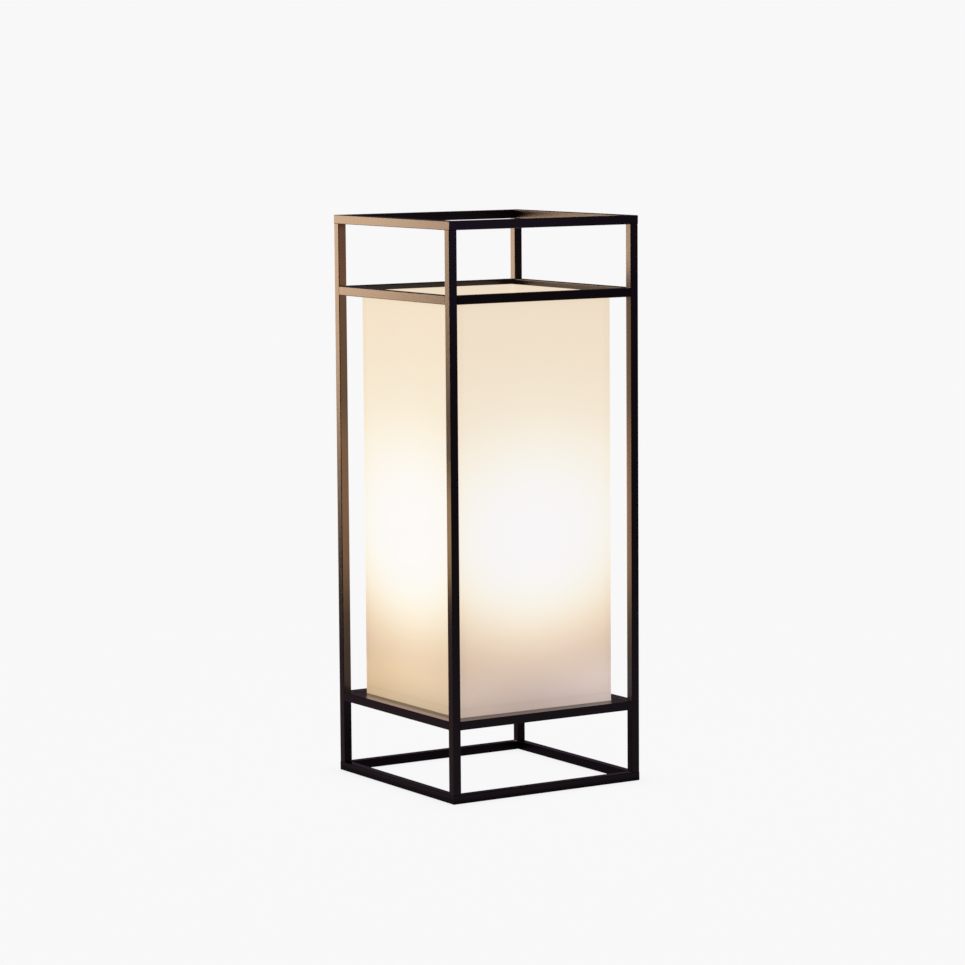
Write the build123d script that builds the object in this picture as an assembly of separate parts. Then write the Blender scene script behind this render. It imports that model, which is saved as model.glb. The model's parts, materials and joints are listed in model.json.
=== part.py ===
from build123d import *
import os
from math import asin, cos, radians, sin, sqrt

# Outdoor lantern: a welded cage of slim square tube round a lit box shade of opal sheet.
# Millimetres, +Z up. The origin is on the floor below the middle of the cage, and the front faces -Y.

# Cage
frame_side = 250.0  # outside width and depth
frame_height = 645.0
tube_side = 10.0
tube_wall = 1.2
tube_edge = 0.8  # radius on the outer edges of the tube
shelf_height = 82.5  # floor to the underside of the shelf rails
head_gap = 71.5  # clear height between the upper rails and the top rails

# Shade
shade_gap = 13.0  # free space between the rails and the shade
shade_sheet = 4.0
shade_tuck = 5.0  # height of the shade's top above the underside of the upper rails
shade_edge = 0.6  # rounding of the outside edges

# Tray, its corner gussets and the lip that centres the shade
tray_sheet = 2.0
tray_recess = 1.0  # top of the tray below the top of the shelf rails
tray_gap = 0.3  # joint round the tray
gusset_leg = 56.0
gusset_sheet = 2.0
gusset_tip = 4.0  # width left at the cut-off points
lip_height = 10.0
lip_sheet = 1.5
lip_gap = 0.5  # between the lip and the inside of the shade

# Tray screws and nuts
screw_d = 4.0
screw_head_d = 8.0
screw_head_height = 2.6
screw_spare = 1.5  # thread past the nut
nut_flats = 7.0
nut_height = 3.2
head_room = 0.5  # between a screw head and the lip
hole_gap = 0.25  # clearance hole over screw, on the radius
thread_gap = 0.05  # nut over thread, on the radius
recess_length = 4.4  # cross recess in a screw head
recess_width = 1.0
recess_depth = 1.3
head_edge = 0.9  # upright edge of a screw head, under its dome
nut_turn_share = 0.6  # how far the turned-off ends of a nut reach down its corners

# Stem that carries the lampholder
stem_d = 10.0
stem_bore_d = 7.6
stem_spare = 1.0  # thread past the lower nut
stem_nut_flats = 14.0
stem_nut_height = 4.0
washer_d = 22.0
washer_sheet = 1.5
tag_sheet = 0.8  # earth tag
tag_d = 17.0
tag_width = 6.0
tag_reach = 12.0  # stem axis to the tag's upright tab
tag_past = 2.0  # tab below the earth lead's axis

# Lampholder
light_height = 200.5  # tray to the middle of the light
holder_d = 40.0
holder_wall = 2.0
neck_d = 16.0
neck_length = 9.0
flare_height = 11.0
shoulder_height = 2.0
rim_height = 7.0
rim_step = 1.6  # rim inside the holder's outside
skirt_gap = 0.1  # skirt over rim, on the radius
core_sheet = 8.0
core_spigot = 2.0
skirt_shoulder = 1.5  # inside step that holds the core down
skirt_height = 25.0  # core to the skirt's mouth
skirt_mouth_d = 30.0
mouth_sheet = 1.5
sleeve_sheet = 0.6
sleeve_height = 21.0
sleeve_gap = 0.4  # sleeve over the lamp's cap, on the radius
sleeve_eye_d = 16.0
leaf_rise = 3.5  # centre contact above the core
leaf_width = 6.0
leaf_sheet = 0.6
leaf_foot = 6.0
leaf_top = 5.0
contact_gap = 0.3  # between the lamp and the centre contact

# Lamp
globe_d = 60.0
globe_sheet = 1.2
globe_height = 80.0  # lamp's contact to the middle of the globe
light_offset = 2.0  # light's middle above the globe's middle
seam_height = 62.0  # lamp's contact to the foot of the globe
housing_foot_d = 27.6
housing_sheet = 1.5
seam_wall = 2.0  # housing's rim under the globe
ledge_width = 1.5  # seat of the light board
spigot_depth = 12.0
spigot_gap = 1.2  # clear of the rolled thread, on the radius
cap_d = 26.0
cap_sheet = 0.4
cap_height = 24.0  # lamp's contact to the top of the cap
cap_foot_height = 5.5
cap_foot_d = 22.0
cap_turn = 2.0  # height of the turned-in foot of the cap
pip_d = 10.0
pip_height = 1.5
board_sheet = 1.6
board_gap = 0.2

# Wiring box under the tray
box_width = 44.0  # inside
box_length = 75.0  # inside
box_front = 15.0  # stem axis to the inside of the front wall
box_depth = 19.0  # inside
box_wall = 2.0
box_corner = 5.0
lid_sheet = 2.0
seal_sheet = 1.0
boss_d = 7.0
lid_screw_d = 3.0
lid_screw_length = 10.0
lid_head_d = 5.6
lid_head_height = 1.3

# Terminal block and leads
pole_pitch = 9.0
pole_width = 7.0
block_base = 5.0
block_length = 16.0
block_height = 17.5
block_front = 22.0  # stem axis to the block
wire_hole_d = 3.2
wire_drop = 12.5  # box ceiling to the wires' axes
clamp_screw_d = 3.0
clamp_screw_length = 3.4
clamp_screw_inset = 4.0  # from the ends of the block
slot_width = 0.6
slot_depth = 0.6
lead_d = 2.2
lead_tail = 6.0  # lead inside the block
lead_straight = 6.0  # lead straight out of the block
lead_spread = 1.8  # lead axis beside the stem's axis
lead_above = 3.0  # stem's end to the lead's bend
post_spread = 9.0  # lead ends beside the axis, under the core
post_drop = 7.0  # lead ends' straight run under the core
bend_share = 0.45  # of the shorter run that a bend takes up

# Cable gland
gland_drop = 11.5  # box ceiling to the gland's axis
gland_thread_d = 12.0
gland_bore_d = 8.0
gland_inside = 9.0  # thread inside the wall
gland_flats = 15.0
gland_flange = 4.5
barrel_d = 11.0
barrel_length = 9.0
gland_seal_d = 9.0
cable_d = 6.4
seal_length = 8.0
seal_gap = 0.1
finger_slots = 6
finger_slot_width = 0.8
finger_length = 5.0
lock_flats = 16.0
lock_height = 4.0
dome_gap = 0.15  # dome nut over the barrel, on the radius
dome_flats_height = 7.0
dome_height = 14.0
dome_tip_d = 11.0
dome_mouth_d = 7.6
dome_end_gap = 0.3

# Places that follow from the sizes above
half_side = frame_side / 2
tube_axis = half_side - tube_side / 2
rail_inside = half_side - tube_side
top_rail_z = frame_height - tube_side
upper_rail_z = top_rail_z - head_gap - tube_side
shelf_top = shelf_height + tube_side
tray_top = shelf_top - tray_recess
tray_foot = tray_top - tray_sheet
gusset_foot = tray_foot - gusset_sheet
shade_half = rail_inside - shade_gap
shade_inside = shade_half - shade_sheet
shade_top = upper_rail_z + shade_tuck
lip_outside = shade_inside - lip_gap
lip_inside = lip_outside - lip_sheet
screw_place = lip_inside - head_room - screw_head_d / 2
lamp_foot = tray_top + light_height - light_offset - globe_height
core_top = lamp_foot - contact_gap - leaf_rise
core_foot = core_top - core_sheet
shoulder_z = core_foot - rim_height
holder_foot = shoulder_z - shoulder_height - flare_height - neck_length
stem_top = holder_foot + neck_length
ceiling = tray_foot - box_wall
box_foot = ceiling - box_depth
tag_z = ceiling - tag_sheet
lower_nut_z = tag_z - stem_nut_height
stem_foot = lower_nut_z - stem_spare
wire_z = ceiling - wire_drop
box_back = box_length - box_front
box_middle = (box_back - box_front) / 2
gland_z = ceiling - gland_drop
thread_r = stem_d / 2 + thread_gap

nodes = {}


def turned(edges):
    """A solid turned about Z from an outline drawn as (radius, height)."""
    return revolve(Plane.XZ * make_face(edges), Axis.Z)


def outline(*points):
    """Straight edges from point to point."""
    return Polyline(*points)


def crown(edge_r, edge_z, top_z):
    """The domed arc from an edge to the axis, level where it meets the axis."""
    rise = top_z - edge_z
    sphere_r = (edge_r**2 + rise**2) / (2 * rise)
    half_angle = asin(min(1, edge_r / abs(sphere_r))) / 2
    middle = (abs(sphere_r) * sin(half_angle), top_z - sphere_r * (1 - cos(half_angle)))
    return ThreePointArc((edge_r, edge_z), middle, (0, top_z))


def plain_tube(length):
    """A length of the square tube, standing on the origin."""
    section = RectangleRounded(tube_side, tube_side, tube_edge)
    section -= Rectangle(tube_side - 2 * tube_wall, tube_side - 2 * tube_wall)
    return extrude(section, length)


def hex_nut(flats, bore_r, height):
    """A hexagon nut on the origin, with its corners turned off at both ends."""
    corner_r = flats / sqrt(3)
    flat_r = flats / 2
    turn_off = (corner_r - flat_r) * nut_turn_share
    nut = extrude(RegularPolygon(corner_r, 6) - Circle(bore_r), height)
    blank = turned(
        outline(
            (0, 0),
            (flat_r, 0),
            (corner_r, turn_off),
            (corner_r, height - turn_off),
            (flat_r, height),
            (0, height),
            (0, 0),
        )
    )
    return nut & blank


def pan_screw(length):
    """A pan-head screw with a cross recess, its head standing on the origin and its shank below."""
    head_r = screw_head_d / 2
    dome = crown(head_r, head_edge, screw_head_height)
    sides = outline(
        (0, screw_head_height),
        (0, -length),
        (screw_d / 2, -length),
        (screw_d / 2, 0),
        (head_r, 0),
        (head_r, head_edge),
    )
    bar = Box(recess_length, recess_width, 2 * recess_depth)
    cross = Pos(0, 0, screw_head_height) * (bar + Rot(0, 0, 90) * bar)
    return turned([dome, sides]) - cross


# Cage: mitred base and top rings, four posts between them, shelf and upper rails butted to the posts.
side_turns = {"front": 0, "right": 90, "back": 180, "left": 270}
rail_length = frame_side - 2 * tube_side
butt_rail = Pos(-rail_length / 2, -tube_axis, 0) * Rot(0, 90, 0) * plain_tube(rail_length)
long_rail = Pos(-half_side, -tube_axis, 0) * Rot(0, 90, 0) * plain_tube(frame_side)
mitre = Polygon(
    (-half_side, -half_side),
    (half_side, -half_side),
    (rail_inside, -rail_inside),
    (-rail_inside, -rail_inside),
    align=None,
)
mitred_rail = long_rail & extrude(mitre, tube_side / 2, both=True)
rings = {
    "base": (mitred_rail, 0),
    "shelf": (butt_rail, shelf_height),
    "upper": (butt_rail, upper_rail_z),
    "top": (mitred_rail, top_rail_z),
}
for ring_name, (rail, rail_foot) in rings.items():
    for side, turn in side_turns.items():
        nodes[f"{ring_name}_rail_{side}"] = Rot(0, 0, turn) * Pos(0, 0, rail_foot + tube_side / 2) * rail

post = Pos(-tube_axis, -tube_axis, tube_side) * plain_tube(top_rail_z - tube_side)
post_turns = {"front_left": 0, "front_right": 90, "back_right": 180, "back_left": 270}
for corner, turn in post_turns.items():
    nodes[f"post_{corner}"] = Rot(0, 0, turn) * post

# Gussets welded into the corners of the shelf rails, and the tray that is screwed down on them.
gusset_inset = rail_inside - screw_place
gusset_plan = Polygon(
    (0, 0),
    (gusset_leg, 0),
    (gusset_leg, gusset_tip),
    (gusset_tip, gusset_leg),
    (0, gusset_leg),
    align=None,
)
gusset_plan -= Pos(gusset_inset, gusset_inset) * Circle(screw_d / 2 + hole_gap)
gusset = Pos(-rail_inside, -rail_inside, gusset_foot) * extrude(gusset_plan, gusset_sheet)
nodes["corner_gussets"] = Compound([Rot(0, 0, turn) * gusset for turn in post_turns.values()])

tray_side = 2 * (rail_inside - tray_gap)
tray_plan = Rectangle(tray_side, tray_side) - Circle(stem_d / 2 + hole_gap)
tray_plan -= GridLocations(2 * screw_place, 2 * screw_place, 2, 2) * Circle(screw_d / 2 + hole_gap)
nodes["tray"] = Pos(0, 0, tray_foot) * extrude(tray_plan, tray_sheet)

screw_length = tray_sheet + gusset_sheet + nut_height + screw_spare
tray_screw = Pos(screw_place, screw_place, tray_top) * pan_screw(screw_length)
tray_nut = Pos(screw_place, screw_place, gusset_foot - nut_height) * hex_nut(
    nut_flats, screw_d / 2 + thread_gap, nut_height
)
nodes["tray_screws"] = Compound([Rot(0, 0, turn) * tray_screw for turn in side_turns.values()])
nodes["tray_nuts"] = Compound([Rot(0, 0, turn) * tray_nut for turn in side_turns.values()])

long_lip = Box(2 * lip_outside, lip_sheet, lip_height, align=(Align.CENTER, Align.MIN, Align.MIN))
short_lip = Box(2 * lip_inside, lip_sheet, lip_height, align=(Align.CENTER, Align.MIN, Align.MIN))
lip_turns = ((long_lip, 0), (short_lip, 90), (long_lip, 180), (short_lip, 270))
nodes["tray_lip"] = Compound(
    [Rot(0, 0, turn) * Pos(0, -lip_outside, tray_top) * strip for strip, turn in lip_turns]
)

# Shade: side walls run the full depth, front and back stand between them, and the top lies over all four.
wall_height = shade_top - shade_sheet - tray_top
side_wall = Box(
    shade_sheet, 2 * shade_half, wall_height, align=(Align.MIN, Align.CENTER, Align.MIN)
)
side_wall = fillet(side_wall.edges().filter_by(Axis.Z).group_by(Axis.X)[0], shade_edge)
face_wall = Box(
    2 * shade_inside, shade_sheet, wall_height, align=(Align.CENTER, Align.MIN, Align.MIN)
)
cover = Box(2 * shade_half, 2 * shade_half, shade_sheet, align=(Align.CENTER, Align.CENTER, Align.MIN))
cover = fillet(cover.edges().filter_by(Axis.Z) + cover.edges().group_by(Axis.Z)[-1], shade_edge)
nodes["shade_left"] = Pos(-shade_half, 0, tray_top) * side_wall
nodes["shade_right"] = Rot(0, 0, 180) * nodes["shade_left"]
nodes["shade_front"] = Pos(0, -shade_half, tray_top) * face_wall
nodes["shade_back"] = Rot(0, 0, 180) * nodes["shade_front"]
nodes["shade_top"] = Pos(0, 0, shade_top - shade_sheet) * cover

# Stem through the tray and the wiring box, with a nut above and a nut and an earth tag below.
nodes["stem"] = Pos(0, 0, stem_foot) * extrude(
    Circle(stem_d / 2) - Circle(stem_bore_d / 2), stem_top - stem_foot
)
nodes["stem_washer"] = Pos(0, 0, tray_top) * extrude(Circle(washer_d / 2) - Circle(thread_r), washer_sheet)
stem_nut = hex_nut(stem_nut_flats, thread_r, stem_nut_height)
nodes["stem_nuts"] = Compound(
    [Pos(0, 0, tray_top + washer_sheet) * stem_nut, Pos(0, 0, lower_nut_z) * stem_nut]
)
tag_arm = Pos(0, tag_reach / 2, 0) * Rectangle(tag_width, tag_reach)
tag_plate = extrude(Circle(tag_d / 2) + tag_arm - Circle(thread_r), tag_sheet)
tag_drop = tag_z + tag_sheet - wire_z + tag_past
tag_tab = Box(tag_width, tag_sheet, tag_drop, align=(Align.CENTER, Align.MIN, Align.MAX))
nodes["earth_tag"] = Pos(0, 0, tag_z) * (tag_plate + Pos(0, tag_reach - tag_sheet, tag_sheet) * tag_tab)

# Lampholder: the skirt screws onto the dome's rim and clamps the core, which carries both contacts.
holder_r = holder_d / 2
rim_r = holder_r - rim_step
rim_bore_r = rim_r - holder_wall
bowl_foot = neck_length + holder_wall
bowl_top = neck_length + flare_height
dome_height_all = bowl_top + shoulder_height + rim_height
dome_edges = [
    TangentArc((neck_d / 2, neck_length), (holder_r, bowl_top), tangent=(1, 0)),
    outline(
        (holder_r, bowl_top),
        (holder_r, bowl_top + shoulder_height),
        (rim_r, bowl_top + shoulder_height),
        (rim_r, dome_height_all),
        (rim_bore_r, dome_height_all),
        (rim_bore_r, bowl_top + shoulder_height),
    ),
    TangentArc((thread_r, bowl_foot), (rim_bore_r, bowl_top + shoulder_height), tangent=(1, 0)),
    outline((thread_r, bowl_foot), (thread_r, 0), (neck_d / 2, 0), (neck_d / 2, neck_length)),
]
nodes["holder_dome"] = Pos(0, 0, holder_foot) * turned(dome_edges)

core_r = rim_r
spigot_r = rim_bore_r - skirt_gap
core = Pos(0, 0, core_foot) * Cylinder(
    core_r, core_sheet, align=(Align.CENTER, Align.CENTER, Align.MIN)
)
core += Pos(0, 0, core_foot) * Cylinder(
    spigot_r, core_spigot, align=(Align.CENTER, Align.CENTER, Align.MAX)
)
nodes["holder_core"] = core

skirt_bore_r = rim_r + skirt_gap
skirt_inside_r = core_r - skirt_shoulder
skirt_top = core_top + skirt_height
nodes["holder_skirt"] = turned(
    outline(
        (skirt_bore_r, shoulder_z),
        (holder_r, shoulder_z),
        (holder_r, skirt_top),
        (skirt_mouth_d / 2, skirt_top),
        (skirt_mouth_d / 2, skirt_top - mouth_sheet),
        (skirt_inside_r, skirt_top - mouth_sheet),
        (skirt_inside_r, core_top),
        (skirt_bore_r, core_top),
        (skirt_bore_r, shoulder_z),
    )
)

sleeve_r = cap_d / 2 + sleeve_gap
nodes["screw_sleeve"] = turned(
    outline(
        (sleeve_eye_d / 2, core_top),
        (sleeve_r + sleeve_sheet, core_top),
        (sleeve_r + sleeve_sheet, core_top + sleeve_height),
        (sleeve_r, core_top + sleeve_height),
        (sleeve_r, core_top + sleeve_sheet),
        (sleeve_eye_d / 2, core_top + sleeve_sheet),
        (sleeve_eye_d / 2, core_top),
    )
)

leaf_half = leaf_foot / 2
leaf_path = outline(
    (leaf_half, leaf_sheet / 2),
    (-leaf_half, leaf_sheet / 2),
    (-leaf_top / 2, leaf_rise - leaf_sheet / 2),
    (leaf_top / 2, leaf_rise - leaf_sheet / 2),
)
leaf_face = trace(leaf_path, leaf_sheet)
nodes["centre_contact"] = Pos(0, 0, core_top) * extrude(Plane.XZ * leaf_face, leaf_width / 2, both=True)

# Lamp: opal globe on a flared housing, with a metal cap, an insulator and a contact at its foot.
globe_r = globe_d / 2
globe_inner_r = globe_r - globe_sheet
seam_drop = globe_height - seam_height
seam_r = sqrt(globe_r**2 - seam_drop**2)
seam_inner_r = sqrt(globe_inner_r**2 - seam_drop**2)
globe_edges = [
    ThreePointArc((seam_r, -seam_drop), (globe_r, 0), (0, globe_r)),
    outline((0, globe_r), (0, globe_inner_r)),
    ThreePointArc((0, globe_inner_r), (globe_inner_r, 0), (seam_inner_r, -seam_drop)),
    outline((seam_inner_r, -seam_drop), (seam_r, -seam_drop)),
]
nodes["lamp_globe"] = Pos(0, 0, lamp_foot + globe_height) * turned(globe_edges)

cap_r = cap_d / 2
cap_bore_r = cap_r - cap_sheet
cap_foot_r = cap_foot_d / 2
spigot_outer_r = cap_bore_r - spigot_gap
spigot_bore_r = spigot_outer_r - housing_sheet
housing_foot_r = housing_foot_d / 2
mouth_r = seam_r - seam_wall
ledge_r = mouth_r - ledge_width
ledge_height = seam_height - board_sheet
housing_edges = [
    outline(
        (spigot_bore_r, cap_height - spigot_depth),
        (spigot_outer_r, cap_height - spigot_depth),
        (spigot_outer_r, cap_height),
        (housing_foot_r, cap_height),
    ),
    TangentArc((housing_foot_r, cap_height), (seam_r, seam_height), tangent=(0, 1)),
    outline(
        (seam_r, seam_height),
        (mouth_r, seam_height),
        (mouth_r, ledge_height),
        (ledge_r, ledge_height),
    ),
    TangentArc((spigot_bore_r, cap_height), (ledge_r, ledge_height), tangent=(0, 1)),
    outline((spigot_bore_r, cap_height), (spigot_bore_r, cap_height - spigot_depth)),
]
nodes["lamp_housing"] = Pos(0, 0, lamp_foot) * turned(housing_edges)

nodes["lamp_cap"] = Pos(0, 0, lamp_foot) * turned(
    outline(
        (cap_foot_r, cap_foot_height),
        (cap_r, cap_foot_height + cap_turn),
        (cap_r, cap_height),
        (cap_bore_r, cap_height),
        (cap_bore_r, cap_foot_height + cap_turn + cap_sheet),
        (cap_foot_r, cap_foot_height + cap_sheet),
        (cap_foot_r, cap_foot_height),
    )
)
pip_r = pip_d / 2
nodes["lamp_insulator"] = Pos(0, 0, lamp_foot) * turned(
    outline(
        (0, pip_height),
        (pip_r, pip_height),
        (cap_foot_r, cap_foot_height),
        (cap_foot_r, cap_foot_height + cap_sheet),
        (0, cap_foot_height + cap_sheet),
        (0, pip_height),
    )
)
pip_edges = [
    crown(pip_r, pip_height, 0),
    outline((0, 0), (0, pip_height), (pip_r, pip_height)),
]
nodes["lamp_contact"] = Pos(0, 0, lamp_foot) * turned(pip_edges)
nodes["light_board"] = Pos(0, 0, lamp_foot + ledge_height) * Cylinder(
    mouth_r - board_gap, board_sheet, align=(Align.CENTER, Align.CENTER, Align.MIN)
)

# Wiring box: a moulded tub hung under the tray on the stem, closed from below by a sealed lid.
lid_place = Pos(0, box_middle, 0)
outer_plan = RectangleRounded(box_width + 2 * box_wall, box_length + 2 * box_wall, box_corner)
inner_plan = RectangleRounded(box_width, box_length, box_corner - box_wall)
boss_places = GridLocations(box_width - boss_d, box_length - boss_d, 2, 2)
tub = Pos(0, 0, box_foot) * lid_place * extrude(outer_plan, box_depth + box_wall)
tub -= Pos(0, 0, box_foot) * lid_place * extrude(inner_plan, box_depth)
boss_plan = inner_plan & (Sketch() + boss_places * Rectangle(boss_d, boss_d))
tub += Pos(0, 0, box_foot) * lid_place * extrude(boss_plan, box_depth)
lid_shank = lid_screw_length + lid_head_height
screw_reach = lid_screw_length - seal_sheet - lid_sheet + lid_head_height
boss_holes = Sketch() + boss_places * Circle(lid_screw_d / 2 + thread_gap)
tub -= Pos(0, 0, box_foot) * lid_place * extrude(boss_holes, screw_reach + screw_spare)
tub -= Pos(0, 0, ceiling) * extrude(Circle(stem_d / 2 + hole_gap), box_wall)
gland_hole = extrude(Circle(gland_thread_d / 2 + hole_gap), box_wall)
gland_frame = Pos(0, box_back, gland_z) * Rot(-90, 0, 0)
tub -= gland_frame * gland_hole
nodes["wiring_box"] = tub

seal_plan = outer_plan - inner_plan
nodes["lid_seal"] = Pos(0, 0, box_foot - seal_sheet) * lid_place * extrude(seal_plan, seal_sheet)
lid_foot = box_foot - seal_sheet - lid_sheet
lid_plan = outer_plan - boss_places * Circle(lid_screw_d / 2 + hole_gap)
lid = Pos(0, 0, lid_foot) * lid_place * extrude(lid_plan, lid_sheet)
head_r = lid_head_d / 2
sink = turned(
    outline(
        (0, 0),
        (head_r + hole_gap, 0),
        (lid_screw_d / 2 + hole_gap, lid_head_height),
        (0, lid_head_height),
        (0, 0),
    )
)
lid -= Pos(0, 0, lid_foot) * lid_place * (Part() + boss_places * sink)
nodes["box_lid"] = lid

lid_screw = turned(
    outline(
        (0, 0),
        (head_r, 0),
        (lid_screw_d / 2, lid_head_height),
        (lid_screw_d / 2, lid_shank),
        (0, lid_shank),
        (0, 0),
    )
)
lid_screw -= Box(lid_head_d, slot_width, 2 * slot_depth)
nodes["lid_screws"] = Compound(
    [Pos(0, 0, lid_foot) * lid_place * place * lid_screw for place in boss_places]
)

# Terminal block under the box's ceiling: three poles, each with a wire hole and two clamp screws.
pole_places = GridLocations(pole_pitch, pole_pitch, 3, 1)
block_middle = block_front + block_length / 2
block_width = 2 * pole_pitch + pole_width
block = Box(block_width, block_length, block_base, align=(Align.CENTER, Align.CENTER, Align.MAX))
block += pole_places * Box(
    pole_width, block_length, block_height, align=(Align.CENTER, Align.CENTER, Align.MAX)
)
wire_hole = Pos(0, 0, -wire_drop) * Rot(90, 0, 0) * Cylinder(wire_hole_d / 2, 2 * block_length)
clamp_span = block_length - 2 * clamp_screw_inset
clamp_places = GridLocations(pole_pitch, clamp_span, 3, 2)
clamp_hole = Pos(0, 0, -block_height) * Cylinder(
    clamp_screw_d / 2 + thread_gap,
    block_height - wire_drop,
    align=(Align.CENTER, Align.CENTER, Align.MIN),
)
block -= pole_places * wire_hole
block -= clamp_places * clamp_hole
block_place = Pos(0, block_middle, ceiling)
nodes["terminal_block"] = block_place * block
clamp_screw = Cylinder(
    clamp_screw_d / 2, clamp_screw_length, align=(Align.CENTER, Align.CENTER, Align.MIN)
)
clamp_screw -= Box(clamp_screw_d, slot_width, 2 * slot_depth)
nodes["terminal_screws"] = Compound(
    [block_place * place * Pos(0, 0, -block_height) * clamp_screw for place in clamp_places]
)


def bend_radii(points):
    """The largest bend at each inner point that its two runs leave room for."""
    radii = []
    for before, corner, after in zip(points, points[1:], points[2:]):
        run_in = Vector(*corner) - Vector(*before)
        run_out = Vector(*after) - Vector(*corner)
        half_turn = radians(run_in.get_angle(run_out) / 2)
        shorter = min(run_in.length, run_out.length)
        radii.append(bend_share * shorter * cos(half_turn) / sin(half_turn))
    return radii


def lead(side):
    """A lead from its pole, under the stem's end, up the stem and out to its place under the core."""
    pole_x = side * pole_pitch
    stem_x = side * lead_spread
    end_x = side * post_spread
    core_end = core_foot - core_spigot
    points = [
        (pole_x, block_front + lead_tail, wire_z),
        (pole_x, block_front - lead_straight, wire_z),
        (stem_x, 0, wire_z),
        (stem_x, 0, stem_top + lead_above),
        (end_x, 0, core_end - post_drop),
        (end_x, 0, core_end),
    ]
    path = FilletPolyline(*points, radius=bend_radii(points))
    return sweep(Plane(points[0], z_dir=(0, -1, 0)) * Circle(lead_d / 2), path)


nodes["live_lead"] = lead(-1)
nodes["neutral_lead"] = lead(1)
earth_run = block_front + lead_tail - tag_reach
nodes["earth_lead"] = Pos(0, tag_reach, wire_z) * Rot(-90, 0, 0) * Cylinder(
    lead_d / 2, earth_run, align=(Align.CENTER, Align.CENTER, Align.MIN)
)

# Cable gland in the back wall: the dome nut closes the fingers of the body on the seal.
gland_start = gland_frame * Pos(0, 0, box_wall)
flange_end = gland_flange
barrel_end = flange_end + barrel_length
seal_r = gland_seal_d / 2
seat_r = seal_r + seal_gap
seat_foot = barrel_end - seal_length
gland_body = turned(
    outline(
        (gland_bore_d / 2, -box_wall - gland_inside),
        (gland_thread_d / 2, -box_wall - gland_inside),
        (gland_thread_d / 2, flange_end / 2),
        (barrel_d / 2, flange_end / 2),
        (barrel_d / 2, barrel_end),
        (seat_r, barrel_end),
        (seat_r, seat_foot),
        (gland_bore_d / 2, seat_foot),
        (gland_bore_d / 2, -box_wall - gland_inside),
    )
)
gland_body += hex_nut(gland_flats, barrel_d / 2 - seal_gap, gland_flange)
finger_cut = Pos(0, 0, barrel_end) * Box(
    barrel_d, finger_slot_width, finger_length, align=(Align.MIN, Align.CENTER, Align.MAX)
)
gland_body -= PolarLocations(0, finger_slots) * finger_cut
nodes["gland_body"] = gland_start * gland_body
nodes["gland_seal"] = gland_start * Pos(0, 0, seat_foot) * extrude(
    Circle(seal_r) - Circle(cable_d / 2), seal_length
)
nodes["gland_lock_nut"] = gland_frame * Pos(0, 0, -lock_height) * hex_nut(
    lock_flats, gland_thread_d / 2 + thread_gap, lock_height
)
dome_bore_r = barrel_d / 2 + dome_gap
dome_bore_end = barrel_length + dome_end_gap
dome_flat_r = gland_flats / 2
dome_blank = turned(
    [
        outline(
            (dome_tip_d / 2, dome_height),
            (dome_mouth_d / 2, dome_height),
            (dome_mouth_d / 2, dome_bore_end),
            (dome_bore_r, dome_bore_end),
            (dome_bore_r, 0),
            (dome_flat_r, 0),
            (dome_flat_r, dome_flats_height),
        ),
        TangentArc(
            (dome_flat_r, dome_flats_height), (dome_tip_d / 2, dome_height), tangent=(0, 1)
        ),
    ]
)
nodes["gland_nut"] = gland_start * Pos(0, 0, flange_end) * (
    dome_blank + hex_nut(gland_flats, dome_bore_r, dome_flats_height)
)

os.makedirs("parts", exist_ok=True)
for name, piece in nodes.items():
    export_step(piece, f"parts/{name}.step")
print(len(nodes), "pieces")
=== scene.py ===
# %% [markdown]
# # Outdoor lantern
# A cage of slim square tube stands round a tall box shade of opal sheet. The solids come in at their
# real size and place, in metres, and stay where they are. This lesson dresses them: the camera and the
# studio first, then a finish for each material, then the pieces that need a finer form, and the lights last.

# %% Bring in the lantern
import json
from math import cos, pi, radians, sin

import bpy
from mathutils import Matrix, Quaternion, Vector

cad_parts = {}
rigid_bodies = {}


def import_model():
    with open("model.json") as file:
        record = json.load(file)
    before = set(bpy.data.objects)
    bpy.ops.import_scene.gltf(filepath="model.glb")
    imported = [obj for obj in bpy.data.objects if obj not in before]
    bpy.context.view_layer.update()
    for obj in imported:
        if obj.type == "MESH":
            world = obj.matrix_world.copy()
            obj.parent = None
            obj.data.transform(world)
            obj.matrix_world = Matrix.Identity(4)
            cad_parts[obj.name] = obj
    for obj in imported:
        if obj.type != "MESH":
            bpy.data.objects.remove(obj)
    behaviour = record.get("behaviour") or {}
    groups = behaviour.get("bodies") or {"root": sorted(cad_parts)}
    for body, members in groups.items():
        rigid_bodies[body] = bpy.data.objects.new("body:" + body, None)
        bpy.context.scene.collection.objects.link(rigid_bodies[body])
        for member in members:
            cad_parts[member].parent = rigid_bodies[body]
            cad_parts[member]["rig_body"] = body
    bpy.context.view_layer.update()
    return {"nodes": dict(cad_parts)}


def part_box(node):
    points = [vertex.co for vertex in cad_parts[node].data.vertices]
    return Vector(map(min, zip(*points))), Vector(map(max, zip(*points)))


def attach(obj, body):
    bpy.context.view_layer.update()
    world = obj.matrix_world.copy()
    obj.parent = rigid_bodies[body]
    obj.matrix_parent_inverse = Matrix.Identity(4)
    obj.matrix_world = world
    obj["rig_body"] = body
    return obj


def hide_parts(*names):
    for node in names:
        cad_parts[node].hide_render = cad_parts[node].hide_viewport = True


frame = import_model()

nodes = frame["nodes"]

# %% [markdown]
# ## Camera
# A long lens from four metres away keeps the posts nearly parallel. The camera stands in front and to the
# left, so that the near post is left of the middle and the narrow left side and the wide front are both in
# view. The angles below are in degrees, and the lens is worked out for a square picture.

# %% Camera
picture_side = 965.0  # pixels
focal_length = 3591.8  # in the same pixels
turned_by = radians(32.287)
tilted_down = radians(6.429)
rolled = radians(-0.437)
camera_distance = 4.112
aim_height = 0.3125
aim_right = -0.0047
aim_up = 0.0269

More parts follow.
